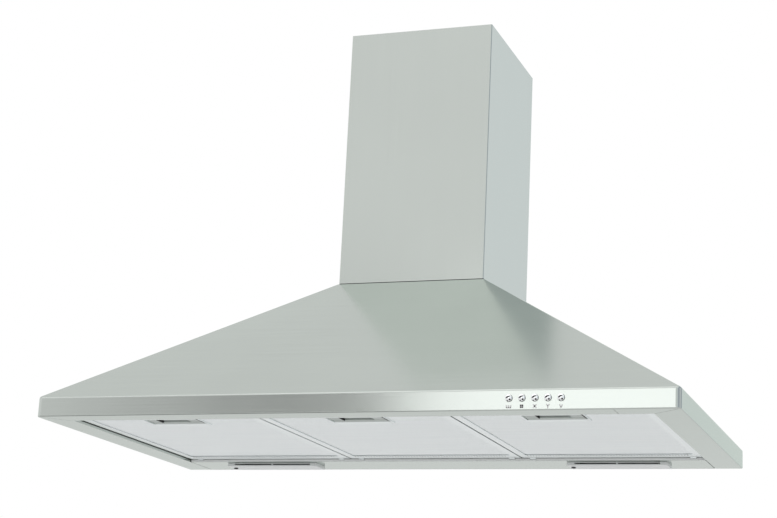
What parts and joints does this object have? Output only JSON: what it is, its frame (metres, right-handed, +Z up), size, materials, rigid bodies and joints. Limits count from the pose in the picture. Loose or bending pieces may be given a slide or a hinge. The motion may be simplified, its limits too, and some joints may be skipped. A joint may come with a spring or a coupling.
{
  "type": "wall-mounted range hood",
  "caption": "Wall-mounted pyramid chimney range hood in brushed stainless steel with a blower, push buttons, hinged mesh grease filters, rear lamps and a telescopic chimney cover.",
  "frame": {"origin": "the middle of the canopy's lower rear edge, on the wall plane and level with the underside", "axes": "+X to the right seen from the front, +Y into the wall, +Z up"},
  "size_m": [0.898, 0.5034, 0.6434],
  "materials": {
    "brushed_steel": "fine brushed stainless",
    "galvanised": "plain galvanised sheet",
    "filter_frame": "bright rolled aluminium",
    "filter_mesh": "expanded mesh",
    "latch_grey": "satin grey",
    "chrome_button": "polished",
    "frosted_cover": "frosted",
    "black_plastic": "moulded",
    "white_plastic": "moulded",
    "motor_steel": "plain",
    "bearing_bronze": "sintered",
    "screw_steel": "zinc plated",
    "dark_screw": "blackened",
    "bulb_glass": "opal",
    "seal_rubber": "matt",
    "lead_sheath": "matt"
  },
  "bodies": {
    "hood": {"canopy_shell": "brushed_steel", "chimney_lower": "brushed_steel", "chimney_seal": "seal_rubber", "lamp_panel": "brushed_steel", "back_panel": "galvanised", "deck_plate": "galvanised", "body_screws": "screw_steel", "blower_screws": "screw_steel", "scroll_housing": "black_plastic", "inlet_plate": "black_plastic", "inlet_guard": "black_plastic", "motor_casing": "motor_steel", "motor_end_cap": "motor_steel", "motor_bearings": "bearing_bronze", "motor_stator": "motor_steel", "outlet_collar": "black_plastic", "flap_pin": "screw_steel", "cable_gland": "black_plastic", "capacitor": "white_plastic", "terminal_box": "white_plastic", "terminal_box_lid": "white_plastic", "terminal_block": "white_plastic", "motor_lead": "lead_sheath", "switch_lead": "lead_sheath", "lamp_leads": "lead_sheath", "switch_bracket": "galvanised", "switch_body": "black_plastic", "lamp_tray_left": "galvanised", "lampholder_left": "white_plastic", "bulb_left": "bulb_glass", "lamp_tray_right": "galvanised", "lampholder_right": "white_plastic", "bulb_right": "bulb_glass"},
    "upper_cover": {"chimney_upper": "brushed_steel", "upper_bracket": "galvanised", "bracket_screws": "screw_steel"},
    "fan": {"impeller": "galvanised", "motor_rotor": "motor_steel"},
    "front_flap": {"flap_front": "black_plastic"},
    "rear_flap": {"flap_rear": "black_plastic"},
    "push_button_1": {"button_1": "chrome_button"},
    "push_button_2": {"button_2": "chrome_button"},
    "push_button_3": {"button_3": "chrome_button"},
    "push_button_4": {"button_4": "chrome_button"},
    "push_button_5": {"button_5": "chrome_button"},
    "filter_1": {"filter_frame_1": "filter_frame", "filter_mesh_1": "filter_mesh"},
    "latch_1": {"filter_latch_1": "latch_grey"},
    "filter_2": {"filter_frame_2": "filter_frame", "filter_mesh_2": "filter_mesh"},
    "latch_2": {"filter_latch_2": "latch_grey"},
    "filter_3": {"filter_frame_3": "filter_frame", "filter_mesh_3": "filter_mesh"},
    "latch_3": {"filter_latch_3": "latch_grey"},
    "cover_left": {"lamp_cover_left": "frosted_cover", "cover_screw_left": "dark_screw"},
    "cover_right": {"lamp_cover_right": "frosted_cover", "cover_screw_right": "dark_screw"}
  },
  "joints": [
    {"name": "upper_cover_slide", "type": "slide", "parent": "hood", "child": "upper_cover", "axis": [0, 0, 1], "range_m": [0, 0.3]},
    {"name": "fan_spin", "type": "hinge", "parent": "hood", "child": "fan", "pos_m": [0, -0.176, 0.122], "axis": [1, 0, 0], "continuous": true},
    {"name": "front_flap_hinge", "type": "hinge", "parent": "hood", "child": "front_flap", "pos_m": [0, -0.119, 0.274], "axis": [-1, 0, 0], "range_deg": [0, 80]},
    {"name": "rear_flap_hinge", "type": "hinge", "parent": "hood", "child": "rear_flap", "pos_m": [0, -0.119, 0.274], "axis": [1, 0, 0], "range_deg": [0, 80]},
    {"name": "push_button_1_press", "type": "slide", "parent": "hood", "child": "push_button_1", "axis": [0, 1, 0], "range_m": [0, 0.003], "stiffness_N_per_m": 300, "springref_m": -0.001},
    {"name": "push_button_2_press", "type": "slide", "parent": "hood", "child": "push_button_2", "axis": [0, 1, 0], "range_m": [0, 0.003], "stiffness_N_per_m": 300, "springref_m": -0.001},
    {"name": "push_button_3_press", "type": "slide", "parent": "hood", "child": "push_button_3", "axis": [0, 1, 0], "range_m": [0, 0.003], "stiffness_N_per_m": 300, "springref_m": -0.001},
    {"name": "push_button_4_press", "type": "slide", "parent": "hood", "child": "push_button_4", "axis": [0, 1, 0], "range_m": [0, 0.003], "stiffness_N_per_m": 300, "springref_m": -0.001},
    {"name": "push_button_5_press", "type": "slide", "parent": "hood", "child": "push_button_5", "axis": [0, 1, 0], "range_m": [0, 0.003], "stiffness_N_per_m": 300, "springref_m": -0.001},
    {"name": "filter_1_drop", "type": "hinge", "parent": "hood", "child": "filter_1", "pos_m": [-0.2715, -0.0815, 0.0044], "axis": [1, 0, 0], "range_deg": [0, 60]},
    {"name": "latch_1_pull", "type": "slide", "parent": "filter_1", "child": "latch_1", "axis": [0, 1, 0], "range_m": [0, 0.006], "stiffness_N_per_m": 400, "springref_m": -0.002},
    {"name": "filter_2_drop", "type": "hinge", "parent": "hood", "child": "filter_2", "pos_m": [0, -0.0815, 0.0044], "axis": [1, 0, 0], "range_deg": [0, 60]},
    {"name": "latch_2_pull", "type": "slide", "parent": "filter_2", "child": "latch_2", "axis": [0, 1, 0], "range_m": [0, 0.006], "stiffness_N_per_m": 400, "springref_m": -0.002},
    {"name": "filter_3_drop", "type": "hinge", "parent": "hood", "child": "filter_3", "pos_m": [0.2715, -0.0815, 0.0044], "axis": [1, 0, 0], "range_deg": [0, 60]},
    {"name": "latch_3_pull", "type": "slide", "parent": "filter_3", "child": "latch_3", "axis": [0, 1, 0], "range_m": [0, 0.006], "stiffness_N_per_m": 400, "springref_m": -0.002},
    {"name": "cover_left_drop", "type": "hinge", "parent": "hood", "child": "cover_left", "pos_m": [-0.2, -0.05, -0.0003], "axis": [0, -1, 0], "range_deg": [0, 60]},
    {"name": "cover_right_drop", "type": "hinge", "parent": "hood", "child": "cover_right", "pos_m": [0.35, -0.05, -0.0003], "axis": [0, -1, 0], "range_deg": [0, 60]}
  ]
}
